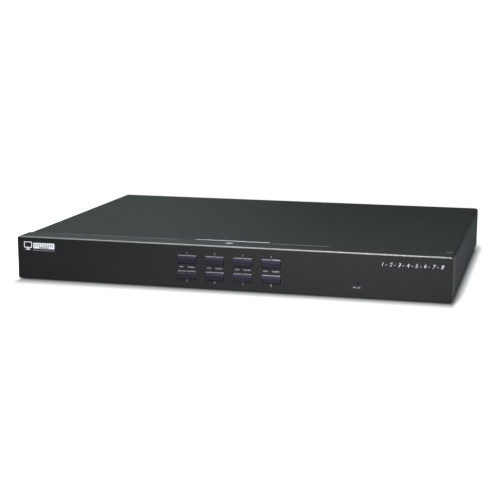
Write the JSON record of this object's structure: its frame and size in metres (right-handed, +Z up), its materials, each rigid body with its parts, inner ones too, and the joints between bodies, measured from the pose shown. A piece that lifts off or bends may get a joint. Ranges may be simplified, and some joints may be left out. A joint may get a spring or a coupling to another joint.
{
  "type": "kvm switch",
  "caption": "Low rack-width box with two rows of split push keys on the front and video-type sockets, console sockets, a mains inlet and a rocker at the rear.",
  "frame": {"origin": "middle of the case's footprint, on its underside", "axes": "+X to the right seen from the front, -Y out of the front panel, +Y out of the rear panel, +Z up"},
  "size_m": [0.44, 0.3154, 0.044],
  "materials": {
    "case_paint": "fine textured black powder coat",
    "front_paint": "smooth satin black coat",
    "key_plastic": "smoky translucent moulding",
    "black_plastic": "fine spark texture",
    "port_plastic": "moulded insulator in a plated shell",
    "board_laminate": "glass fibre board with solder mask",
    "plated_steel": "nickel plate",
    "black_steel": "black zinc screw",
    "lamp_lens": "clear tinted epoxy",
    "cable_grey": "flat cable sheath",
    "lead_black": "soft sheath",
    "winding_tape": "wound tape over a ferrite core"
  },
  "bodies": {
    "case": {"front_panel": "front_paint", "top_cover": "case_paint", "base_chassis": "case_paint", "rear_panel": "case_paint", "main_board": "board_laminate", "supply_board": "board_laminate", "key_board": "board_laminate", "key_switch_1": "black_plastic", "key_switch_2": "black_plastic", "key_switch_3": "black_plastic", "key_switch_4": "black_plastic", "key_switch_5": "black_plastic", "key_switch_6": "black_plastic", "key_switch_7": "black_plastic", "key_switch_8": "black_plastic", "power_lamp": "lamp_lens", "pc_port_1": "port_plastic", "pc_port_2": "port_plastic", "pc_port_3": "port_plastic", "pc_port_4": "port_plastic", "pc_port_5": "port_plastic", "pc_port_6": "port_plastic", "pc_port_7": "port_plastic", "pc_port_8": "port_plastic", "console_video_port": "port_plastic", "console_keyboard_mouse_port": "black_plastic", "console_usb_port": "plated_steel", "mains_inlet": "black_plastic", "power_switch_housing": "black_plastic", "mains_transformer": "winding_tape", "bulk_capacitor": "black_plastic", "switching_chip": "black_plastic", "ribbon_cable": "cable_grey", "low_voltage_harness": "lead_black", "mains_harness": "lead_black", "front_flange_screw": "black_steel", "front_panel_screw_left": "black_steel", "front_panel_screw_right": "black_steel", "cover_screw_left_front": "black_steel", "cover_screw_left_rear": "black_steel", "cover_screw_right_front": "black_steel", "cover_screw_right_rear": "black_steel", "cover_screw_rear_left": "black_steel", "cover_screw_rear_right": "black_steel", "main_board_screw_left": "plated_steel", "main_board_screw_right": "plated_steel", "main_board_screw_middle": "plated_steel", "supply_board_screw_front": "plated_steel", "supply_board_screw_rear": "plated_steel", "key_board_screw_left": "plated_steel", "key_board_screw_right": "plated_steel"},
    "key_1": {"key_cap_1": "key_plastic"},
    "key_2": {"key_cap_2": "key_plastic"},
    "key_3": {"key_cap_3": "key_plastic"},
    "key_4": {"key_cap_4": "key_plastic"},
    "key_5": {"key_cap_5": "key_plastic"},
    "key_6": {"key_cap_6": "key_plastic"},
    "key_7": {"key_cap_7": "key_plastic"},
    "key_8": {"key_cap_8": "key_plastic"},
    "rocker": {"power_rocker": "black_plastic"}
  },
  "joints": [
    {"name": "key_1_press", "type": "slide", "parent": "case", "child": "key_1", "axis": [0, 1, 0], "range_m": [0, 0.001], "stiffness_N_per_m": 1500},
    {"name": "key_2_press", "type": "slide", "parent": "case", "child": "key_2", "axis": [0, 1, 0], "range_m": [0, 0.001], "stiffness_N_per_m": 1500},
    {"name": "key_3_press", "type": "slide", "parent": "case", "child": "key_3", "axis": [0, 1, 0], "range_m": [0, 0.001], "stiffness_N_per_m": 1500},
    {"name": "key_4_press", "type": "slide", "parent": "case", "child": "key_4", "axis": [0, 1, 0], "range_m": [0, 0.001], "stiffness_N_per_m": 1500},
    {"name": "key_5_press", "type": "slide", "parent": "case", "child": "key_5", "axis": [0, 1, 0], "range_m": [0, 0.001], "stiffness_N_per_m": 1500},
    {"name": "key_6_press", "type": "slide", "parent": "case", "child": "key_6", "axis": [0, 1, 0], "range_m": [0, 0.001], "stiffness_N_per_m": 1500},
    {"name": "key_7_press", "type": "slide", "parent": "case", "child": "key_7", "axis": [0, 1, 0], "range_m": [0, 0.001], "stiffness_N_per_m": 1500},
    {"name": "key_8_press", "type": "slide", "parent": "case", "child": "key_8", "axis": [0, 1, 0], "range_m": [0, 0.001], "stiffness_N_per_m": 1500},
    {"name": "rocker_tilt", "type": "hinge", "parent": "case", "child": "rocker", "pos_m": [-0.16, 0.1509, 0.021], "axis": [1, 0, 0], "range_deg": [0, 20]}
  ]
}
